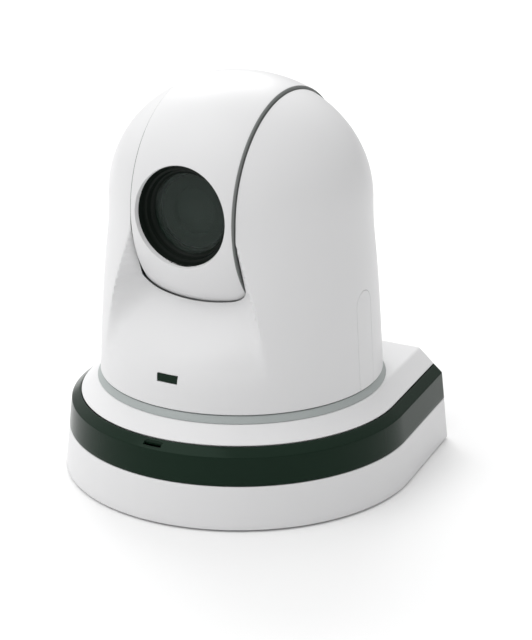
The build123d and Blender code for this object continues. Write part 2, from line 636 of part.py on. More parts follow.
with BuildPart() as tally_window:
    block((-LAMP_X + 0.1, LAMP_X - 0.1), (-61.9, -55.3), (LAMP_Z[0] + 0.1, LAMP_Z[1] - 0.1))
    add(scoop_cutter(0.5), mode=Mode.SUBTRACT)
    block((-LAMP_X, LAMP_X), (-55.2, -49), (LAMP_Z[0] - 1, LAMP_Z[1] + 1), mode=Mode.SUBTRACT)
keep(tally_window, "tally_window")

# ---------------------------------------------------------------- head: structure and tilt drive
FLOOR_Z = TURNTABLE_Z[1] + 0.02
TRUNNION_R = 5.0
BEARING_R = 8.0
with BuildPart() as uprights:
    for side in (-1, 1):
        block(sorted((side * 28.6, side * 31.0)), (-14, 14), (FLOOR_Z, TILT_Z))
        block(sorted((side * 28.6, side * 38.0)), (-14, 14), (FLOOR_Z, FLOOR_Z + 2))
        cylinder_x(14.0, *sorted((side * 28.6, side * 31.0)))
    cylinder_x(BEARING_R + 0.02, -40, 40, mode=Mode.SUBTRACT)
keep(uprights, "uprights")

with BuildPart() as tilt_bearings:
    for side in (-1, 1):
        cylinder_x(BEARING_R, *sorted((side * 28.6, side * 32.0)))
        cylinder_x(9.5, *sorted((side * 31.05, side * 32.0)))
    cylinder_x(TRUNNION_R + 0.03, -40, 40, mode=Mode.SUBTRACT)
keep(tilt_bearings, "tilt_bearings")

TILT_CENTRES = MODULE * (TILT_GEAR_TEETH + TILT_PINION_TEETH) / 2
TILT_MOTOR_Z = TILT_Z - TILT_CENTRES
GEAR_X = (34.0, 38.0)
with BuildPart() as tilt_motor:
    cylinder_x(11.0, 39.8, 53.5, 0, TILT_MOTOR_Z)
    cylinder_x(4.0, 38.9, 39.8, 0, TILT_MOTOR_Z)
    cylinder_x(1.55, 38.0, 42.0, 0, TILT_MOTOR_Z, mode=Mode.SUBTRACT)
keep(tilt_motor, "tilt_motor")

with BuildPart() as tilt_motor_bracket:
    block((38.6, 39.78), (-13, 13), (FLOOR_Z, TILT_MOTOR_Z + 4))
    block((38.6, 50.0), (-13, 13), (FLOOR_Z, FLOOR_Z + 2))
    cylinder_x(4.02, 38, 40, 0, TILT_MOTOR_Z, mode=Mode.SUBTRACT)
keep(tilt_motor_bracket, "tilt_motor_bracket")

gear_plane = Plane(origin=(GEAR_X[0], 0, TILT_Z), x_dir=(0, 1, 0), z_dir=(1, 0, 0))
pinion_plane = Plane(origin=(GEAR_X[0], 0, TILT_MOTOR_Z), x_dir=(0, 1, 0), z_dir=(1, 0, 0))
with BuildPart() as tilt_pinion:
    with BuildSketch(pinion_plane):
        gear_face(TILT_PINION_TEETH, 90 + 180 / TILT_PINION_TEETH)
    extrude(amount=GEAR_X[1] - GEAR_X[0])
    cylinder_x(1.5, 33.2, 41.5, 0, TILT_MOTOR_Z)
keep(tilt_pinion, "tilt_pinion")

with BuildPart() as head_board:
    block((-22, 22), (40, 41.6), (FLOOR_Z, 80))
    block((-12, -2), (41.6, 43.2), (60, 70))
    block((4, 14), (41.6, 44.0), (56, 62))
    block((4, 16), (38.0, 40), (64, 74))
keep(head_board, "head_board")

# ---------------------------------------------------------------- drum
drum_outer = drum_solid()
drum_inner = drum_solid(-DRUM_WALL, DRUM_HALF_W - DRUM_WALL, 0)
SPIGOT_R = 6.0
with BuildPart() as drum_body:
    add(drum_outer)
    add(drum_inner, mode=Mode.SUBTRACT)
    cylinder_x(SPIGOT_R + 0.02, -30, 30, mode=Mode.SUBTRACT)

BEZEL_R = WINDOW_R + 0.5
with BuildPart() as drum_front:
    add(drum_body.part)
    split(bisect_by=Plane.XZ.offset(-DRUM_SPLIT_Y), keep=Keep.TOP)
    cylinder_y(BEZEL_R + 0.1, -60, -36, mode=Mode.SUBTRACT)
keep(drum_front, "drum_front")

with BuildPart() as drum_rear:
    add(drum_body.part)
    split(bisect_by=Plane.XZ.offset(-DRUM_SPLIT_Y - PART_LINE), keep=Keep.BOTTOM)
keep(drum_rear, "drum_rear")

GLASS_FRONT_Y, GLASS_BACK_Y = -41.4, -39.8
LENS_AXIS = Axis((0, 0, LENS_Z), (0, 1, 0))


def lens_turning(points):
    """Turn a closed (y, radius) outline about the lens axis."""
    with BuildSketch(Plane(origin=(0, 0, LENS_Z), x_dir=(0, 1, 0), z_dir=(1, 0, 0))) as profile:
        with BuildLine():
            Polyline(*points, close=True)
        make_face()
    revolve(profile.sketch, axis=LENS_AXIS)


with BuildPart() as lens_bezel:
    lens_turning([
        (WINDOW_FACE_Y, BEZEL_R), (WINDOW_FACE_Y, WINDOW_R), (-45.6, 20.6), (-44.6, 20.2),
        (-44.6, 19.3), (-42.6, 18.7), (-42.6, 18.1), (GLASS_FRONT_Y - 0.02, GLASS_R - 0.3),
        (GLASS_FRONT_Y - 0.02, GLASS_R + 0.03), (GLASS_BACK_Y, GLASS_R + 0.03), (-36.0, GLASS_R + 0.03),
        (-36.0, BEZEL_R),
    ])
keep(lens_bezel, "lens_bezel")

with BuildPart() as front_glass:
    cylinder_y(GLASS_R, GLASS_FRONT_Y, GLASS_BACK_Y)
keep(front_glass, "front_glass")

BARREL_R, BARREL_BORE_R = 15.5, 12.0
with BuildPart() as lens_barrel:
    lens_turning([
        (-38.6, 10.8), (-38.6, BARREL_R), (-8.0, BARREL_R), (-8.0, BARREL_BORE_R),
        (-32.0, BARREL_BORE_R), (-32.0, 10.2), (-37.6, 10.2),
    ])
keep(lens_barrel, "lens_barrel")

ELEMENT_R, ELEMENT_FRONT_Y, ELEMENT_CURVE_R = 10.1, -37.4, 24.3
with BuildPart() as front_element:
    cylinder_y(ELEMENT_R, ELEMENT_FRONT_Y, -32.4)
    with Locations((0, ELEMENT_FRONT_Y + ELEMENT_CURVE_R, LENS_Z)):
        Sphere(ELEMENT_CURVE_R, mode=Mode.INTERSECT)
keep(front_element, "front_element")

ROD_R, ROD_OFFSET = 0.8, 10.0
with BuildPart() as guide_rods:
    for side in (-1, 1):
        cylinder_y(ROD_R, -31.9, -8.0, 0, LENS_Z + side * ROD_OFFSET)
keep(guide_rods, "guide_rods")

carriages = (("zoom_carriage", "zoom_lens", -30.0, 6.6), ("focus_carriage", "focus_lens", -15.0, 5.4))
for carriage_name, lens_name, front_y, lens_r in carriages:
    with BuildPart() as carriage:
        cylinder_y(11.6, front_y, front_y + 3.5)
        cylinder_y(lens_r + 0.02, front_y - 1, front_y + 5, mode=Mode.SUBTRACT)
        for side in (-1, 1):
            cylinder_y(ROD_R + 0.05, -40, 0, 0, LENS_Z + side * ROD_OFFSET, mode=Mode.SUBTRACT)
    keep(carriage, carriage_name)
    with BuildPart() as moving_lens:
        cylinder_y(lens_r, front_y + 0.2, front_y + 3.3)
        fillet(moving_lens.edges().filter_by(GeomType.CIRCLE), 0.8)
    keep(moving_lens, lens_name)

with BuildPart() as camera_block:
    block((-19, 19), (-7.98, 18), (LENS_Z - 18, LENS_Z + 18))
    cylinder_y(9.0, -10, 16, mode=Mode.SUBTRACT)
keep(camera_block, "camera_block")

with BuildPart() as image_sensor:
    block((-4, 4), (13.6, 15.98), (LENS_Z - 3, LENS_Z + 3))
keep(image_sensor, "image_sensor")

with BuildPart() as sensor_board:
    block((-18, 18), (18.02, 19.6), (LENS_Z - 17, LENS_Z + 17))
    block((-7, 7), (19.6, 21.4), (LENS_Z - 7, LENS_Z + 7))
    block((-16, 16), (19.6, 22.6), (LENS_Z + 11, LENS_Z + 15))
keep(sensor_board, "sensor_board")

FRAME_IN, FRAME_OUT = 19.1, 22.6
with BuildPart() as drum_frame:
    for side in (-1, 1):
        block(sorted((side * 20.6, side * FRAME_OUT)), (-12, 16), (103, 142))
    block((-FRAME_OUT, FRAME_OUT), (-12, 16), (103, 105))
    for side in (-1, 1):
        cylinder_x(3.0, *sorted((side * FRAME_IN, side * 20.7)), 4.0, LENS_Z + 12)
    cylinder_x(SPIGOT_R + 0.02, -30, 30, mode=Mode.SUBTRACT)
keep(drum_frame, "drum_frame")

with BuildPart() as trunnions:
    for side, shaft_end in ((-1, 34.0), (1, 39.0)):
        cylinder_x(SPIGOT_R, *sorted((side * 20.4, side * (DRUM_HALF_W + 0.02))))
        cylinder_x(8.0, *sorted((side * (DRUM_HALF_W + 0.02), side * 28.4)))
        cylinder_x(TRUNNION_R, *sorted((side * 28.4, side * shaft_end)))
    cylinder_x(2.6, -50, 50, mode=Mode.SUBTRACT)
keep(trunnions, "trunnions")

with BuildPart() as tilt_gear:
    with BuildSketch(gear_plane):
        gear_face(TILT_GEAR_TEETH, -90)
    extrude(amount=GEAR_X[1] - GEAR_X[0])
    cylinder_x(8.0, 32.6, GEAR_X[1])
    cylinder_x(TRUNNION_R + 0.01, 30, 45, mode=Mode.SUBTRACT)
    with Locations(gear_plane):
        with PolarLocations(16.5, 6, start_angle=-60):
            Cylinder(5.0, 20, mode=Mode.SUBTRACT)
keep(tilt_gear, "tilt_gear")
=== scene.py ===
import json
import math

import bmesh
import bpy
import numpy as np
from mathutils import Matrix, Vector


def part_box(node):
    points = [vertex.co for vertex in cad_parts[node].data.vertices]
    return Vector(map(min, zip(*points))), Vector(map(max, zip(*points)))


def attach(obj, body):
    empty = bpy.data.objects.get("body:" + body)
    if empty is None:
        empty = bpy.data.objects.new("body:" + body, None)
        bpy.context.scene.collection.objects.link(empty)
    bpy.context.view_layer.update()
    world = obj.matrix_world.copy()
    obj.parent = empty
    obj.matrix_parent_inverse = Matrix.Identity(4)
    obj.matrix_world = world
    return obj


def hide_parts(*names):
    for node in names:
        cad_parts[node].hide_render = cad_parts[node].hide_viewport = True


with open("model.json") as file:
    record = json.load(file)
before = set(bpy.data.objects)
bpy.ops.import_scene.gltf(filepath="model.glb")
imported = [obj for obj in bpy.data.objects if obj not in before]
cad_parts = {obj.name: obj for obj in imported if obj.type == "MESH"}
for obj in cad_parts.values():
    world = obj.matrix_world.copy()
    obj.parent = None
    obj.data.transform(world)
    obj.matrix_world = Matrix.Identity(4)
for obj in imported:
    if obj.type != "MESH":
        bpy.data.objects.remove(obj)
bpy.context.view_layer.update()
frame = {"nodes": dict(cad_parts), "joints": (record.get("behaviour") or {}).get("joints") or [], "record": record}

MM = 0.001
NODES = frame["nodes"]
JOINTS = {joint["name"]: joint for joint in frame["joints"]}


def top_of(node):
    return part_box(node)[1].z / MM


def low_of(node):
    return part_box(node)[0].z / MM


# ---------------------------------------------------------------- sizes, in millimetres
# The frame gives the limits of the nodes. What it can't give is set here.
RIM, PART_LINE = 0.25, 0.15
SIDE_TAPER = math.radians(6.7)
REAR_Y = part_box("lower_shell")[1].y / MM
SHELL_TOP_R, SHELL_TOP_Z = 77.8, top_of("lower_shell")
SHELL_LOW_Z, FLOOR_R = low_of("lower_shell"), 80.0
BASE_R = SHELL_TOP_R + (FLOOR_R - SHELL_TOP_R) * (SHELL_TOP_Z - SHELL_LOW_Z) / SHELL_TOP_Z
BAND_LOW_Z, BAND_TOP_Z = low_of("smoked_band"), top_of("smoked_band")
BAND_EDGE_R, BAND_EDGE_Z, BAND_TOP_R = 76.4, 32.2, 72.2
DECK_LOW_Z, DECK_Z, DECK_R, DECK_HOLE_R = BAND_TOP_Z + PART_LINE, top_of("upper_cover"), 64.6, 59.0
SHELL_WALL, BAND_WALL, DECK_WALL, BAND_RIM = 2.2, 2.0, 2.0, 0.15
WINDOW_PLAY = 0.1

TILT_Z = JOINTS["tilt"]["pos_m"][2] / MM
HEAD_LOW_Z = low_of("head_housing")
SKIRT_R, DOME_A, DOME_B = 63.1, 59.0, 52.8
SPLIT_Y, POCKET_X = 34.0, 25.45
HEAD_WALL, INLAY_WALL, DRUM_WALL, INLAY_PLAY = 2.3, 0.9, 2.0, 0.12
DRUM_HALF_W, DRUM_R, DRUM_EDGE_R = 25.05, 53.4, 48.9
DRUM_SHOULDER, DRUM_GAP, DRUM_SPLIT_Y = 1.5, 0.8, 24.0
LENS_Z = (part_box("front_glass")[0].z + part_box("front_glass")[1].z) / 2 / MM
WINDOW_HOLE_R = 21.9


# ---------------------------------------------------------------- mesh tools
def grid(rows, closed):
    """Triangles over equal rows of points; a closed row joins its end to its start."""
    rows = np.asarray(rows, float)
    count, length = rows.shape[0], rows.shape[1]
    points = rows.reshape(-1, 3)
    i = np.arange(count - 1)[:, None]
    j = np.arange(length if closed else length - 1)[None, :]
    after = (j + 1) % length
    a, b = i * length + j, i * length + after
    c, d = (i + 1) * length + after, (i + 1) * length + j
    triangles = np.concatenate([
        np.stack([a, b, c], -1).reshape(-1, 3), np.stack([a, c, d], -1).reshape(-1, 3),
    ])
    return points, triangles


def clip(skin, inside):
    """Keep the part of a skin where inside(points) is positive, cut cleanly at zero."""
    points, triangles = skin
    value = inside(points)
    value = np.where(np.abs(value) < 1e-7, 1e-7, value)
    kept = (value[triangles] > 0).sum(1)
    result = [triangles[kept == 3]]
    extra, made = [], {}

    def crossing(p, q):
        key = (min(p, q), max(p, q))
        if key not in made:
            low, high = (points[p], points[q]) if value[p] < 0 else (points[q], points[p])
            for _ in range(24):
                middle = (low + high) / 2
                if inside(middle[None, :])[0] > 0:
                    high = middle
                else:
                    low = middle
            made[key] = len(points) + len(extra)
            extra.append(high)
        return made[key]

    cut = []
    for number in np.nonzero((kept == 1) | (kept == 2))[0]:
        tri = list(triangles[number])
        alone = [v for v in tri if (value[v] > 0) == (kept[number] == 1)][0]
        turn = tri.index(alone)
        p, q, r = tri[turn], tri[(turn + 1) % 3], tri[(turn + 2) % 3]
        pq, pr = crossing(p, q), crossing(p, r)
        if kept[number] == 1:
            cut.append([p, pq, pr])
        else:
            cut.append([pq, q, r])
            cut.append([pq, r, pr])
    if extra:
        points = np.vstack([points, np.array(extra)])
    if cut:
        result.append(np.array(cut))
    return points, np.concatenate(result)


def tidy(skin, merge=0.02):
    """Drop unused points and weld those that nearly meet."""
    points, triangles = skin
    mesh = bmesh.new()
    used, renumbered = np.unique(triangles, return_inverse=True)
    verts = [mesh.verts.new(points[n]) for n in used]
    for tri in renumbered.reshape(-1, 3):
        mesh.faces.new([verts[n] for n in tri])
    bmesh.ops.remove_doubles(mesh, verts=mesh.verts, dist=merge)
    bmesh.ops.dissolve_degenerate(mesh, edges=mesh.edges, dist=merge / 4)
    bmesh.ops.triangulate(mesh, faces=mesh.faces)
    mesh.verts.index_update()
    points = np.array([v.co for v in mesh.verts])
    triangles = np.array([[v.index for v in f.verts] for f in mesh.faces])
    mesh.free()
    return points, triangles


def point_normals(points, triangles):
    p, q, r = (points[triangles[:, k]] for k in range(3))
    face = np.cross(q - p, r - p)
    normals = np.zeros_like(points)
    for k in range(3):
        np.add.at(normals, triangles[:, k], face)
    return normals / np.maximum(np.linalg.norm(normals, axis=1, keepdims=True), 1e-12)


def shell(skin, thickness, rim=RIM, steps=3):
    """A closed shell below a skin, with every open edge rounded over by rim."""
    points, triangles = tidy(skin)
    normals = point_normals(points, triangles)
    well_below = np.array([0, 0, points[:, 2].min() - 50])
    if ((points - well_below) * normals).sum() < 0:
        triangles, normals = triangles[:, ::-1], -normals
    edges = {}
    for a, b, c in triangles:
        for p, q in ((a, b), (b, c), (c, a)):
            edges[(p, q)] = True
    border = [(p, q) for p, q in edges if (q, p) not in edges]
    outward = {}
    for p, q in border:
        along = points[q] - points[p]
        for n in (p, q):
            side = np.cross(along, normals[n])
            outward[n] = outward.get(n, 0) + side
    rim_points = sorted(outward)
    place = {n: k for k, n in enumerate(rim_points)}
    base = points[rim_points]
    up = normals[rim_points]
    out = np.array([outward[n] for n in rim_points])
    out -= up * (out * up).sum(1, keepdims=True)
    out /= np.maximum(np.linalg.norm(out, axis=1, keepdims=True), 1e-12)
    rings = []
    for step in range(1, steps + 1):
        angle = math.pi / 2 * step / steps
        rings.append(base + rim * math.sin(angle) * out - rim * (1 - math.cos(angle)) * up)
    rings.append(base + rim * out - (thickness - 0.05) * up)
    under = points - thickness * normals
    count, width = len(points), len(rim_points)
    every = np.vstack([points, under] + rings)
    faces = [list(t) for t in triangles] + [[t[2] + count, t[1] + count, t[0] + count] for t in triangles]
    for p, q in border:
        chain = [[p, q]]
        for k in range(len(rings)):
            start = 2 * count + k * width
            chain.append([start + place[p], start + place[q]])
        chain.append([p + count, q + count])
        for (a, b), (c, d) in zip(chain, chain[1:]):
            faces.append([b, a, c, d])
    return every, faces


def piece(name, shape, body, material, replaced=(), smooth=40):
    """A finished object from points in millimetres and faces."""
    points, faces = shape
    data = bpy.data.meshes.new(name)
    corners = [tuple(p * MM) for p in np.asarray(points)]
    data.from_pydata(corners, [], [tuple(int(n) for n in f) for f in faces])
    data.validate()
    obj = bpy.data.objects.new(name, data)
    bpy.context.scene.collection.objects.link(obj)
    finish_mesh(obj, smooth)
    obj.data.materials.append(material)
    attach(obj, body)
    if replaced:
        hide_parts(*replaced)
    return obj


def finish_mesh(obj, smooth):
    mesh = bmesh.new()
    mesh.from_mesh(obj.data)
    bmesh.ops.recalc_face_normals(mesh, faces=mesh.faces)
    limit = math.radians(smooth)
    for face in mesh.faces:
        face.smooth = True
    for edge in mesh.edges:
        edge.smooth = not (len(edge.link_faces) == 2 and edge.calc_face_angle(0) > limit)
    mesh.to_mesh(obj.data)
    mesh.free()


def rounded(points, radius, steps=5):
    """A polyline of (a, b) points with its inner corners rounded."""
    points = [np.array(p, float) for p in points]
    result = [points[0]]
    for before, corner, after in zip(points, points[1:], points[2:]):
        back = (before - corner) / np.linalg.norm(before - corner)
        ahead = (after - corner) / np.linalg.norm(after - corner)
        half = math.acos(max(-1, min(1, float(back @ ahead)))) / 2
        reach = radius / math.tan(half)
        reach = min(reach, 0.45 * np.linalg.norm(before - corner), 0.45 * np.linalg.norm(after - corner))
        start, end = corner + back * reach, corner + ahead * reach
        for step in range(steps + 1):
            t = step / steps
            result.append((1 - t) ** 2 * start + 2 * t * (1 - t) * corner + t * t * end)
    result.append(points[-1])
    return result


def filled(points, longest):
    """The same polyline with no step longer than a length."""
    result = [np.array(points[0], float)]
    for p, q in zip(points, points[1:]):
        p, q = np.array(p, float), np.array(q, float)
        count = max(1, int(math.ceil(np.linalg.norm(q - p) / longest)))
        for step in range(1, count + 1):
            result.append(p + (q - p) * step / count)
    return result


# ---------------------------------------------------------------- base shapes
ARC_STEPS, SIDE_STEPS, CORNER_STEPS, REAR_STEPS = 220, 40, 8, 90
CORNER_R = 1.2


def outline(radius, z, rear_y=REAR_Y):
    """The base's plan at one radius: round front, tapering sides, flat rear, as a closed row."""
    lean = SIDE_TAPER
    row = []
    for k in range(ARC_STEPS):
        angle = lean - (math.pi + 2 * lean) * k / ARC_STEPS
        row.append((radius * math.cos(angle), radius * math.sin(angle)))
    centre_y = rear_y - CORNER_R
    centre_x = (radius - CORNER_R - centre_y * math.sin(lean)) / math.cos(lean)
    start = (-radius * math.cos(lean), radius * math.sin(lean))
    end = (-centre_x - CORNER_R * math.cos(lean), centre_y + CORNER_R * math.sin(lean))
    for k in range(SIDE_STEPS):
        t = k / SIDE_STEPS
        row.append((start[0] + (end[0] - start[0]) * t, start[1] + (end[1] - start[1]) * t))
    for k in range(CORNER_STEPS):
        angle = math.pi - lean - (math.pi / 2 - lean) * k / CORNER_STEPS
        row.append((-centre_x + CORNER_R * math.cos(angle), centre_y + CORNER_R * math.sin(angle)))
    for k in range(REAR_STEPS):
        row.append((-centre_x + 2 * centre_x * k / REAR_STEPS, rear_y))
    for k in range(CORNER_STEPS):
        angle = math.pi / 2 - (math.pi / 2 - lean) * k / CORNER_STEPS
        row.append((centre_x + CORNER_R * math.cos(angle), centre_y + CORNER_R * math.sin(angle)))
    for k in range(SIDE_STEPS):
        t = k / SIDE_STEPS
        row.append((-end[0] + (end[0] - start[0]) * t, end[1] + (start[1] - end[1]) * t))
    return [(x, y, z) for x, y in row]


BAY_LOW, BAY_HIGH = (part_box("rear_panel")[k] / MM for k in (0, 1))


def outside_bay(points):
    """Positive away from the connector bay's opening in the rear wall."""
    x = np.abs(points[:, 0]) - BAY_HIGH.x
    low, high = BAY_LOW.z - points[:, 2], points[:, 2] - BAY_HIGH.z
    return np.maximum.reduce([x, low, high, BAY_LOW.y - points[:, 1]])


def base_skin(profile, longest=3.0, blend=0.6):
    rows = [outline(r, z) for r, z in filled(rounded(profile, blend), longest)]
    return grid(rows, closed=True)


def lower_shell_shape():
    skin = base_skin([(BASE_R, SHELL_LOW_Z + RIM), (SHELL_TOP_R, SHELL_TOP_Z - RIM)])
    return shell(clip(skin, outside_bay), SHELL_WALL)


def band_shape():
    skin = base_skin([
        (SHELL_TOP_R, BAND_LOW_Z + RIM), (BAND_EDGE_R, BAND_EDGE_Z),
        (BAND_TOP_R + RIM, BAND_TOP_Z - RIM),
    ], 1.5, 0.5)
    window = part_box("ir_receiver_window")
    half = window[1].x / MM + WINDOW_PLAY
    low, high = window[0].z / MM - WINDOW_PLAY, window[1].z / MM + WINDOW_PLAY

    def outside_window(points):
        box = np.maximum.reduce([
            np.abs(points[:, 0]) - half, low - points[:, 2], points[:, 2] - high,
        ])
        return np.maximum(box, points[:, 1])

    return shell(clip(clip(skin, outside_bay), outside_window), BAND_WALL, BAND_RIM)


DECK_BEND_R, DECK_FLAT, REAR_SETBACK = 2.6, 4.0, 1.2


def deck_shape():
    chamfer = rounded([
        (BAND_TOP_R - PART_LINE - RIM, DECK_LOW_Z + RIM), (DECK_R, DECK_Z), (DECK_R - DECK_FLAT, DECK_Z),
    ], DECK_BEND_R, 8)
    rows = [
        outline(r, z, REAR_Y - REAR_SETBACK * max(0, DECK_R - r)) for r, z in filled(chamfer, 1.0)
    ]
    edge = np.array(rows[-1])
    angle = np.arctan2(edge[:, 1], edge[:, 0])
    hole = np.stack([DECK_HOLE_R * np.cos(angle), DECK_HOLE_R * np.sin(angle), edge[:, 2]], 1)
    for share in (0.25, 0.5, 0.75, 1.0):
        rows.append(edge + (hole - edge) * share)
    return shell(grid(rows, closed=True), DECK_WALL)


def turned(profile, steps=240, blend=0.4):
    """A solid of revolution about Z from a closed loop of (radius, height) points."""
    loop = rounded(list(profile) + [profile[0]], blend, 3)
    rows = []
    for r, z in filled(loop, 2.5):
        angles = [2 * math.pi * k / steps for k in range(steps)]
        rows.append([(r * math.cos(a), r * math.sin(a), z) for a in angles])
    return grid(rows, closed=True)


# ---------------------------------------------------------------- head shapes
SECTIONS_Z = np.array([HEAD_LOW_Z, 72.0, 100.0, 115.0, TILT_Z])
SECTIONS_A = np.array([SKIRT_R, SKIRT_R - 1.6, DOME_A + 1.0, DOME_A + 0.15, DOME_A])
SECTIONS_B = np.array([SKIRT_R, SKIRT_R - 1.6, DOME_B + 4.0, DOME_B + 0.7, DOME_B])
RAMP_LIP_Y, RAMP_LIP_Z = -39.3, 87.0
RAMP_FOOT_Y, RAMP_FOOT_Z = -62.0, 64.0
SCOOP_WALL = np.array([0.748, 0.624, 0.223]) / np.linalg.norm([0.748, 0.624, 0.223])
SCOOP_CORNER = np.array([DRUM_HALF_W, -37.0, 89.0])
SCOOP_CREASE = 7.0
RIDGE_WIDTH, RIDGE_SPREAD, RIDGE_LEAST, RIDGE_MOST = 2.0, 0.3, 1.0, 6.0


def along_spline(z, knots, values):
    """A natural cubic spline through the sections."""
    n = len(knots)
    step = np.diff(knots)
    matrix, right = np.eye(n), np.zeros(n)
    for k in range(1, n - 1):
        matrix[k, k - 1:k + 2] = [step[k - 1], 2 * (step[k - 1] + step[k]), step[k]]
        right[k] = 3 * ((values[k + 1] - values[k]) / step[k] - (values[k] - values[k - 1]) / step[k - 1])
    bend = np.linalg.solve(matrix, right)
    k = np.clip(np.searchsorted(knots, z) - 1, 0, n - 2)
    slope = (values[k + 1] - values[k]) / step[k] - step[k] * (2 * bend[k] + bend[k + 1]) / 3
    t = z - knots[k]
    return values[k] + t * (slope + t * (bend[k] + t * (bend[k + 1] - bend[k]) / (3 * step[k])))


def soft_max(a, b, width):
    h = np.maximum(width - np.abs(a - b), 0) / width
    return np.maximum(a, b) + h * h * width / 4


def envelope_depth(points):
    """How far a point lies outside the head's plain envelope."""
    z = points[:, 2]
    upper = np.maximum(z - TILT_Z, 0)
    a = np.where(z > TILT_Z, DOME_A, along_spline(np.minimum(z, TILT_Z), SECTIONS_Z, SECTIONS_A))
    b = np.where(z > TILT_Z, DOME_B, along_spline(np.minimum(z, TILT_Z), SECTIONS_Z, SECTIONS_B))
    scaled = np.sqrt((points[:, 0] / a) ** 2 + (points[:, 1] / b) ** 2 + (upper / DOME_B) ** 2)
    return (scaled - 1) * (a + b) / 2


def ramp_depth(points):
    """How far a point lies in front of the ramp, flat at its lip and round at its foot."""
    x, y, z = points.T
    slope = (RAMP_LIP_Y - RAMP_FOOT_Y) / (RAMP_LIP_Z - RAMP_FOOT_Z)
    middle = RAMP_FOOT_Y + (z - RAMP_FOOT_Z) * slope
    share = np.clip((RAMP_LIP_Z - z) / (RAMP_LIP_Z - RAMP_FOOT_Z), 0, 1)
    sagitta = -RAMP_FOOT_Y - np.sqrt(np.maximum(RAMP_FOOT_Y ** 2 - x ** 2, 0))
    return (middle + sagitta * share - y) / math.sqrt(1 + slope ** 2)


def wall_depth(points):
    """How far a point lies between the scoop's leaning side walls."""
    folded = points.copy()
    folded[:, 0] = np.abs(folded[:, 0])
    return -(folded - SCOOP_CORNER) @ SCOOP_WALL


def head_depth(points):
    ramp, wall = ramp_depth(points), wall_depth(points)
    scoop = -soft_max(-ramp, -wall, SCOOP_CREASE)
    ridge = np.clip(RIDGE_WIDTH - RIDGE_SPREAD * (ramp - wall), RIDGE_LEAST, RIDGE_MOST)
    return soft_max(envelope_depth(points), scoop, ridge)


NEAREST, FARTHEST, HALVINGS = 15.0, 70.0, 36


def head_skin():
    """The head's outer surface before it is parted, found along rays by halving."""
    around, up_steps, dome_steps = 420, 110, 110
    heights = np.linspace(HEAD_LOW_Z + RIM, TILT_Z, up_steps)
    angles = -math.pi / 2 + 2 * math.pi * np.arange(around) / around
    origins, rays = [], []
    for z in heights:
        origins.append(np.tile([0, 0, z], (around, 1)))
        rays.append(np.stack([np.cos(angles), np.sin(angles), np.zeros(around)], 1))
    for k in range(1, dome_steps):
        rise = math.pi / 2 * k / dome_steps
        origins.append(np.tile([0, 0, TILT_Z], (around, 1)))
        flat = math.cos(rise)
        rays.append(np.stack([
            flat * np.cos(angles), flat * np.sin(angles), np.full(around, math.sin(rise)),
        ], 1))
    origin, ray = np.vstack(origins), np.vstack(rays)
    low, high = np.full(len(ray), NEAREST), np.full(len(ray), FARTHEST)
    for _ in range(HALVINGS):
        middle = (low + high) / 2
        outside = head_depth(origin + ray * middle[:, None]) > 0
        high = np.where(outside, middle, high)
        low = np.where(outside, low, middle)
    points = origin + ray * low[:, None]
    return grid(points.reshape(up_steps + dome_steps - 1, around, 3), closed=True)


CROWN_LIMIT_X = 26


def crown(x, grow=0.0):
    """The drum's radius at a distance x from its middle."""
    reach = DRUM_HALF_W / math.sqrt(1 - (DRUM_EDGE_R / DRUM_R) ** 2)
    return DRUM_R * np.sqrt(np.maximum(1 - (x / reach) ** 2, 0)) + grow


def outside_pocket(points):
    """Positive where a point is clear of the drum's opening."""
    x = points[:, 0]
    radius = np.hypot(points[:, 1], points[:, 2] - TILT_Z)
    beyond = radius - crown(np.clip(x, -CROWN_LIMIT_X, CROWN_LIMIT_X), DRUM_GAP)
    return np.maximum(np.abs(x) - POCKET_X, beyond) - RIM


INLAY_HALF_W, INLAY_TOP_Z = 6.4, 89.4


def arch_distance(points):
    """Distance outside the side inlay's arch, in the plane of the head's side."""
    y, z = points[:, 1], points[:, 2]
    centre = INLAY_TOP_Z - INLAY_HALF_W
    return np.where(z > centre, np.hypot(y, z - centre), np.abs(y)) - INLAY_HALF_W


TALLY_REACH_Y, LENS_REACH_Y = -30, -20


def tally_distance(points):
    """Distance outside the tally window's opening, on the head's front only."""
    low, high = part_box("tally_window")
    half = high.x / MM + WINDOW_PLAY
    bottom, top = low.z / MM - WINDOW_PLAY, high.z / MM + WINDOW_PLAY
    box = np.maximum.reduce([np.abs(points[:, 0]) - half, bottom - points[:, 2], points[:, 2] - top])
    return np.maximum(box, points[:, 1] - TALLY_REACH_Y)


DRUM_BORE_R = 9.0


def drum_skin():
    """The drum's outer surface, side faces included."""
    around, across = 420, 44
    stations = np.linspace(-DRUM_HALF_W, DRUM_HALF_W, across)
    body = [(x, float(crown(x))) for x in stations[3:-3]]
    side = [(-DRUM_HALF_W, DRUM_BORE_R), (-DRUM_HALF_W, float(crown(DRUM_HALF_W)))]
    shape = rounded(side + [body[0]], DRUM_SHOULDER, 6)[:-1] + [np.array(p) for p in body]
    mirrored = [np.array([-x, r]) for x, r in reversed(shape[:-len(body)])]
    rows = []
    angles = 2 * math.pi * np.arange(around) / around
    for x, r in filled(shape + mirrored, 2.5):
        rows.append(np.stack([np.full(around, x), -r * np.cos(angles), TILT_Z + r * np.sin(angles)], 1))
    return grid(rows, closed=True)


def window_distance(points):
    """Distance outside the lens window's round opening, on the drum's front only."""
    radial = np.hypot(points[:, 0], points[:, 2] - LENS_Z) - WINDOW_HOLE_R
    return np.maximum(radial, points[:, 1] - LENS_REACH_Y)


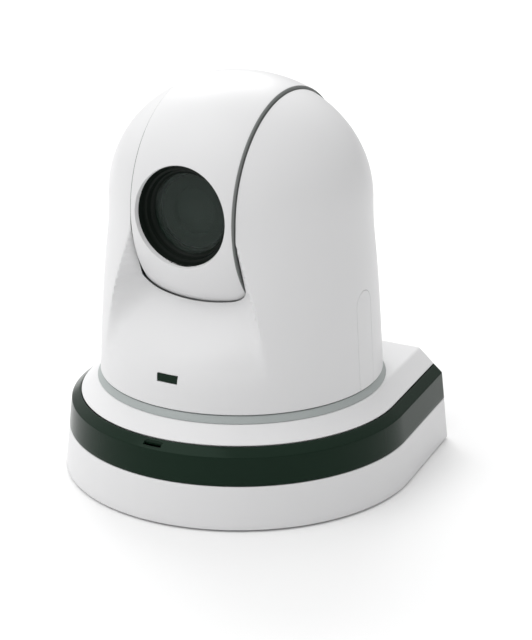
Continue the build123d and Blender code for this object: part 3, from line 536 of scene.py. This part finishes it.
def lathe_y(profile, steps=200, blend=0.12):
    """A solid of revolution about the lens axis from a closed loop of (y, radius) points."""
    loop = rounded(list(profile) + [profile[0]], blend, 2)
    rows = []
    for y, r in filled(loop, 3.0):
        angles = [2 * math.pi * k / steps for k in range(steps)]
        rows.append([(r * math.cos(a), y, LENS_Z + r * math.sin(a)) for a in angles])
    return grid(rows, closed=True)


# ---------------------------------------------------------------- materials
def material(name, color, roughness, **sockets):
    mat = bpy.data.materials.new(name)
    mat.use_nodes = True
    shader = mat.node_tree.nodes["Principled BSDF"]
    shader.inputs["Base Color"].default_value = (*color, 1)
    shader.inputs["Roughness"].default_value = roughness
    for socket, value in sockets.items():
        shader.inputs[socket.replace("_", " ")].default_value = value
    return mat


GRAIN_DEPTH, DRIFT_SCALE, GLOSS_SPREAD = 0.00004, 35, 0.06


def grained(name, color, roughness, scale=2500, bump=0.25, variation=0.02, **sockets):
    """A material with fine moulded grain: bump, a little colour drift and uneven gloss."""
    mat = material(name, color, roughness, **sockets)
    nodes, links = mat.node_tree.nodes, mat.node_tree.links
    shader = nodes["Principled BSDF"]
    where = nodes.new("ShaderNodeTexCoord")
    fine = nodes.new("ShaderNodeTexNoise")
    fine.inputs["Scale"].default_value = scale
    fine.inputs["Detail"].default_value = 3
    links.new(where.outputs["Object"], fine.inputs["Vector"])
    relief = nodes.new("ShaderNodeBump")
    relief.inputs["Strength"].default_value = bump
    relief.inputs["Distance"].default_value = GRAIN_DEPTH
    links.new(fine.outputs["Fac"], relief.inputs["Height"])
    links.new(relief.outputs["Normal"], shader.inputs["Normal"])
    broad = nodes.new("ShaderNodeTexNoise")
    broad.inputs["Scale"].default_value = DRIFT_SCALE
    broad.inputs["Detail"].default_value = 4
    links.new(where.outputs["Object"], broad.inputs["Vector"])
    tint = nodes.new("ShaderNodeMix")
    tint.data_type = "RGBA"
    tint.inputs["A"].default_value = (*[c * (1 - variation) for c in color], 1)
    tint.inputs["B"].default_value = (*[min(1, c * (1 + variation)) for c in color], 1)
    links.new(broad.outputs["Fac"], tint.inputs["Factor"])
    links.new(tint.outputs["Result"], shader.inputs["Base Color"])
    gloss = nodes.new("ShaderNodeMapRange")
    gloss.inputs["To Min"].default_value = roughness - GLOSS_SPREAD
    gloss.inputs["To Max"].default_value = roughness + GLOSS_SPREAD
    links.new(broad.outputs["Fac"], gloss.inputs["Value"])
    links.new(gloss.outputs["Result"], shader.inputs["Roughness"])
    return mat


WHITE = (0.72, 0.72, 0.725)
LOOKS = {
    "white_housing": grained("white_housing", WHITE, 0.36, 2600, 0.22, 0.008, Specular_IOR_Level=0.3),
    "smoked_plastic": grained(
        "smoked_plastic", (0.006, 0.015, 0.009), 0.2, 1800, 0.05, 0.1, Specular_IOR_Level=0.12,
        Specular_Tint=(0.72, 1.0, 0.82, 1),
    ),
    "grey_ring": grained("grey_ring", (0.36, 0.39, 0.385), 0.5, 2600, 0.3, 0.03),
    # Dark grey painted shade for the gaps beside the drum, not a colour of the white moulding.
    "painted_seam_shade": grained("painted_seam_shade", (0.19, 0.20, 0.195), 0.6, 2200, 0.3, 0.1, Specular_IOR_Level=0.2),
    "black_plastic": grained(
        "black_plastic", (0.006, 0.007, 0.006), 0.45, 2200, 0.2, 0.15, Specular_IOR_Level=0.25,
    ),
    "lens_barrel_black": grained(
        "lens_barrel_black", (0.020, 0.027, 0.023), 0.5, 700, 0.02, 0.1, Specular_IOR_Level=0.2,
    ),
    "rubber": grained("rubber", (0.018, 0.018, 0.018), 0.8, 1600, 0.8, 0.15),
    "sheet_steel": grained("sheet_steel", (0.55, 0.56, 0.57), 0.38, 1200, 0.3, 0.06, Metallic=1.0),
    "die_cast": grained("die_cast", (0.52, 0.53, 0.54), 0.5, 900, 0.6, 0.06, Metallic=1.0),
    "bright_steel": grained("bright_steel", (0.68, 0.68, 0.67), 0.2, 900, 0.1, 0.04, Metallic=1.0),
    "brass": grained("brass", (0.72, 0.53, 0.22), 0.28, 900, 0.2, 0.05, Metallic=1.0),
    "gear_plastic": grained("gear_plastic", (0.78, 0.77, 0.72), 0.4, 1500, 0.3, 0.02),
    "circuit_board": grained("circuit_board", (0.012, 0.12, 0.05), 0.3, 1500, 0.3, 0.2),
    "bezel_black": grained(
        "bezel_black", (0.004, 0.007, 0.005), 0.5, 1500, 0.05, 0.1, Specular_IOR_Level=0.15,
    ),
    "coated_lens": grained(
        "coated_lens", (0.032, 0.046, 0.039), 0.12, 60, 0.0, 0.2, Specular_IOR_Level=0.5,
    ),
    "glass": material(
        "glass", (0.50, 0.60, 0.55), 0.02, Transmission_Weight=1.0, IOR=1.36,
        Specular_Tint=(0.62, 0.82, 0.70, 1),
    ),
    "tinted_window": material(
        "tinted_window", (0.018, 0.033, 0.025), 0.06, Alpha=0.45, Specular_IOR_Level=0.3,
    ),
}
OWN_LOOKS = {
    "lens_bezel": "bezel_black", "front_element": "coated_lens", "front_glass": "tinted_window",
}

for row in frame["record"]["subparts"]:
    node = NODES[row["node"]]
    node.data.materials.clear()
    node.data.materials.append(LOOKS[OWN_LOOKS.get(row["node"], row["material_slot"])])


# ---------------------------------------------------------------- pieces
def slotted(obj):
    return obj


white, smoked = LOOKS["white_housing"], LOOKS["smoked_plastic"]
slotted(piece("base_shell", lower_shell_shape(), "base", white, ["lower_shell"]))
slotted(piece("base_band", band_shape(), "base", smoked, ["smoked_band"]))
slotted(piece("base_deck", deck_shape(), "base", white, ["upper_cover"]))
ring_low, ring_top = low_of("neck_ring"), top_of("neck_ring")
RING_INNER_R, RING_TOP_R, RING_PLAY, RING_LIFT = 56.0, 62.8, 0.4, 0.05
ring_neck_r, ring_seat = DECK_HOLE_R - RING_PLAY, DECK_Z + RING_LIFT
ring = turned([
    (RING_INNER_R, ring_low), (ring_neck_r, ring_low), (ring_neck_r, ring_seat),
    (DECK_R, ring_seat), (RING_TOP_R, ring_top), (RING_INNER_R, ring_top),
], blend=0.25)
slotted(piece("neck_collar", ring, "base", LOOKS["grey_ring"], ["neck_ring"]))

# Bounds of the opening's rim faces that get the seam's painted shade.
POCKET_RIM_X, POCKET_LOW_Z = 26.2, 70.0


def paint_seam_shade(obj, chosen):
    """Give the chosen faces a dark grey that is painted shade, standing in for the shadow in the seam's gap; the
    moulding there is white.
    """
    obj.data.materials.append(LOOKS["painted_seam_shade"])
    for face in obj.data.polygons:
        if chosen(face):
            face.material_index = 1
    return obj


# The rounded rim faces around the drum's opening, above the lamp window, which get the seam's painted shade.
def shaded_pocket_rim(face):
    x, _, z = face.center / MM
    return len(face.vertices) == 4 and abs(x) < POCKET_RIM_X and z > POCKET_LOW_Z


def clear_of_drum(shape):
    """Push a shell's hidden inner points out of the drum's opening, by the shorter way."""
    points, faces = shape
    points = np.array(points, dtype=float)
    x, y, z = points[:, 0], points[:, 1], points[:, 2] - TILT_Z
    radius = np.hypot(y, z)
    sideways = POCKET_X - np.abs(x)
    outward = crown(np.clip(x, -CROWN_LIMIT_X, CROWN_LIMIT_X), DRUM_GAP) - radius
    inside = (sideways > 0) & (outward > 0)
    by_side = inside & (sideways <= outward)
    by_ray = inside & (sideways > outward)
    points[by_side, 0] = np.sign(x[by_side]) * POCKET_X
    reach = 1 + outward[by_ray] / np.maximum(radius[by_ray], 1e-6)
    points[by_ray, 1] = y[by_ray] * reach
    points[by_ray, 2] = z[by_ray] * reach + TILT_Z
    return points, faces


whole_head = clip(head_skin(), outside_pocket)
front_head = clip(whole_head, lambda p: SPLIT_Y - RIM - p[:, 1])
front_head = clip(front_head, lambda p: arch_distance(p) - RIM)
front_head = clip(front_head, lambda p: tally_distance(p) - RIM)
front_shape = clear_of_drum(shell(front_head, HEAD_WALL))
head_shell = piece("head_shell", front_shape, "head", white, ["head_housing"])
# Painted shade on the rim of the drum's opening, for the seam's gap.
slotted(paint_seam_shade(head_shell, shaded_pocket_rim))
rear_head = clip(whole_head, lambda p: p[:, 1] - SPLIT_Y - PART_LINE - RIM)
rear_shape = clear_of_drum(shell(rear_head, HEAD_WALL))
head_back = piece("head_back", rear_shape, "head", white, ["head_rear_cover"])
# Painted shade on the rear cover's rim of the drum's opening, for the seam's gap.
slotted(paint_seam_shade(head_back, shaded_pocket_rim))
inlay_skin = clip(head_skin(), lambda p: -arch_distance(p) - INLAY_PLAY - RIM)
slotted(piece("side_arches", shell(inlay_skin, INLAY_WALL), "head", white, ["side_inlays"]))

# Drum faces farther out than this get the seam's painted shade.
SEAM_X = 24.45


def shaded_drum_shoulder(face):
    """True on the drum's rounded shoulders and side faces, which get the seam's painted shade."""
    return abs(face.center.x) > SEAM_X * MM


drum = drum_skin()
drum_face = clip(drum, lambda p: DRUM_SPLIT_Y - RIM - p[:, 1])
drum_face = clip(drum_face, lambda p: window_distance(p) - RIM)
drum_shell = piece("drum_shell", shell(drum_face, DRUM_WALL), "drum", white, ["drum_front"])
# Painted shade on the drum's shoulders and side faces, for the seam's gap.
slotted(paint_seam_shade(drum_shell, shaded_drum_shoulder))
drum_back = clip(drum, lambda p: p[:, 1] - DRUM_SPLIT_Y - PART_LINE - RIM)
drum_cap = piece("drum_cap", shell(drum_back, DRUM_WALL), "drum", white, ["drum_rear"])
# Painted shade on the rear cap's shoulders and side faces, for the seam's gap.
slotted(paint_seam_shade(drum_cap, shaded_drum_shoulder))

AXIS_R = 0.05
ELEMENT_R, ELEMENT_FRONT_Y, ELEMENT_BACK_Y, ELEMENT_CURVE_R = 10.1, -37.4, -32.4, 24.3
dome = [
    (ELEMENT_FRONT_Y + ELEMENT_CURVE_R - math.sqrt(ELEMENT_CURVE_R ** 2 - r * r), r)
    for r in np.linspace(AXIS_R, ELEMENT_R, 24)
]
front_lens = lathe_y(dome + [(ELEMENT_BACK_Y, ELEMENT_R), (ELEMENT_BACK_Y, AXIS_R)])
slotted(piece("front_lens", front_lens, "drum", LOOKS["coated_lens"], ["front_element"]))

bezel_low, bezel_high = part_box("lens_bezel")
glass_low, glass_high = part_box("front_glass")
BEZEL_R = (bezel_high.x - bezel_low.x) / 2 / MM
BEZEL_FRONT_Y, BEZEL_BACK_Y = bezel_low.y / MM, bezel_high.y / MM
GLASS_R, GLASS_PLAY, GLASS_LIP = (glass_high.x - glass_low.x) / 2 / MM, 0.05, 0.3
GLASS_SEAT_Y, GLASS_SEAT_R = glass_low.y / MM - GLASS_PLAY, GLASS_R + GLASS_PLAY
BEZEL_STEPS = [(-45.6, 20.6), (-44.6, 20.2), (-44.6, 19.3), (-42.6, 18.7), (-42.6, 18.1)]
bezel = lathe_y([
    (BEZEL_FRONT_Y, BEZEL_R), (BEZEL_FRONT_Y, 21.3), *BEZEL_STEPS,
    (GLASS_SEAT_Y, GLASS_R - GLASS_LIP), (GLASS_SEAT_Y, GLASS_SEAT_R),
    (BEZEL_BACK_Y, GLASS_SEAT_R), (BEZEL_BACK_Y, BEZEL_R),
])
slotted(piece("stepped_bezel", bezel, "drum", LOOKS["bezel_black"], ["lens_bezel"]))


# ---------------------------------------------------------------- floor, light and camera
FLOOR_HALF = 6.0


def studio():
    floor_data = bpy.data.meshes.new("floor")
    signs = ((-1, -1), (1, -1), (1, 1), (-1, 1))
    corners = [(FLOOR_HALF * across, FLOOR_HALF * along, 0) for across, along in signs]
    floor_data.from_pydata(corners, [], [(0, 1, 2, 3)])
    floor = bpy.data.objects.new("floor", floor_data)
    bpy.context.scene.collection.objects.link(floor)
    floor_data.materials.append(material("floor", (0.88, 0.88, 0.88), 0.9))
    world = bpy.data.worlds.new("studio")
    bpy.context.scene.world = world
    world.use_nodes = True
    sky_dome(world.node_tree)
    area_light("key", (-0.55, -0.75, 1.6), 1.2, 6)
    area_light("overhead", (-0.6, 0.75, 0.95), 0.7, 6)


DIM_SIDE, BRIGHT_SIDE, DIM_BELOW = 0.10, 1.22, -0.35
BRIGHT_FROM = (-0.25, -0.05, 0.95)
AIM = (0, 0, 0.1)


def sky_dome(tree):
    """Soft light, brightest overhead and a little to the left, dimmest from below."""
    where = tree.nodes.new("ShaderNodeTexCoord")
    toward = tree.nodes.new("ShaderNodeVectorMath")
    toward.operation = "DOT_PRODUCT"
    toward.inputs[1].default_value = Vector(BRIGHT_FROM).normalized()
    ramp = tree.nodes.new("ShaderNodeMapRange")
    ramp.interpolation_type = "SMOOTHSTEP"
    ramp.inputs["From Min"].default_value = DIM_BELOW
    ramp.inputs["To Min"].default_value = DIM_SIDE
    ramp.inputs["To Max"].default_value = BRIGHT_SIDE
    tree.links.new(where.outputs["Generated"], toward.inputs[0])
    tree.links.new(toward.outputs["Value"], ramp.inputs["Value"])
    tree.links.new(ramp.outputs["Result"], tree.nodes["Background"].inputs["Strength"])
    tree.nodes["Background"].inputs["Color"].default_value = (1, 1, 1, 1)


def area_light(name, place, size, power):
    data = bpy.data.lights.new(name, "AREA")
    data.size = size
    data.energy = power
    light = bpy.data.objects.new(name, data)
    light.location = place
    light.rotation_euler = (Vector(AIM) - Vector(place)).to_track_quat("-Z", "Y").to_euler()
    bpy.context.scene.collection.objects.link(light)


CAMERA_AZIMUTH, CAMERA_ELEVATION, CAMERA_ROLL = 29.78, 19.55, -0.297
AXIS_RIGHT, AXIS_UP, DISTANCE = 0.01053, 0.06185, 0.86684
FOCAL_LENGTH = 106.9


def make_camera():
    azimuth, elevation, roll = (math.radians(v) for v in (CAMERA_AZIMUTH, CAMERA_ELEVATION, CAMERA_ROLL))
    back = Vector((
        math.sin(azimuth) * math.cos(elevation), -math.cos(azimuth) * math.cos(elevation),
        math.sin(elevation),
    ))
    level = Vector((math.cos(azimuth), math.sin(azimuth), 0))
    upright = back.cross(level)
    right = level * math.cos(roll) + upright * math.sin(roll)
    up = upright * math.cos(roll) - level * math.sin(roll)
    data = bpy.data.cameras.new("camera")
    data.lens = FOCAL_LENGTH
    data.clip_start = 0.01
    camera = bpy.data.objects.new("camera", data)
    place = right * AXIS_RIGHT + up * AXIS_UP + back * DISTANCE
    camera.matrix_world = Matrix((
        (right.x, up.x, back.x, place.x), (right.y, up.y, back.y, place.y),
        (right.z, up.z, back.z, place.z), (0, 0, 0, 1),
    ))
    bpy.context.scene.collection.objects.link(camera)
    bpy.context.scene.camera = camera


studio()
make_camera()
bpy.context.scene.view_settings.view_transform = "Standard"
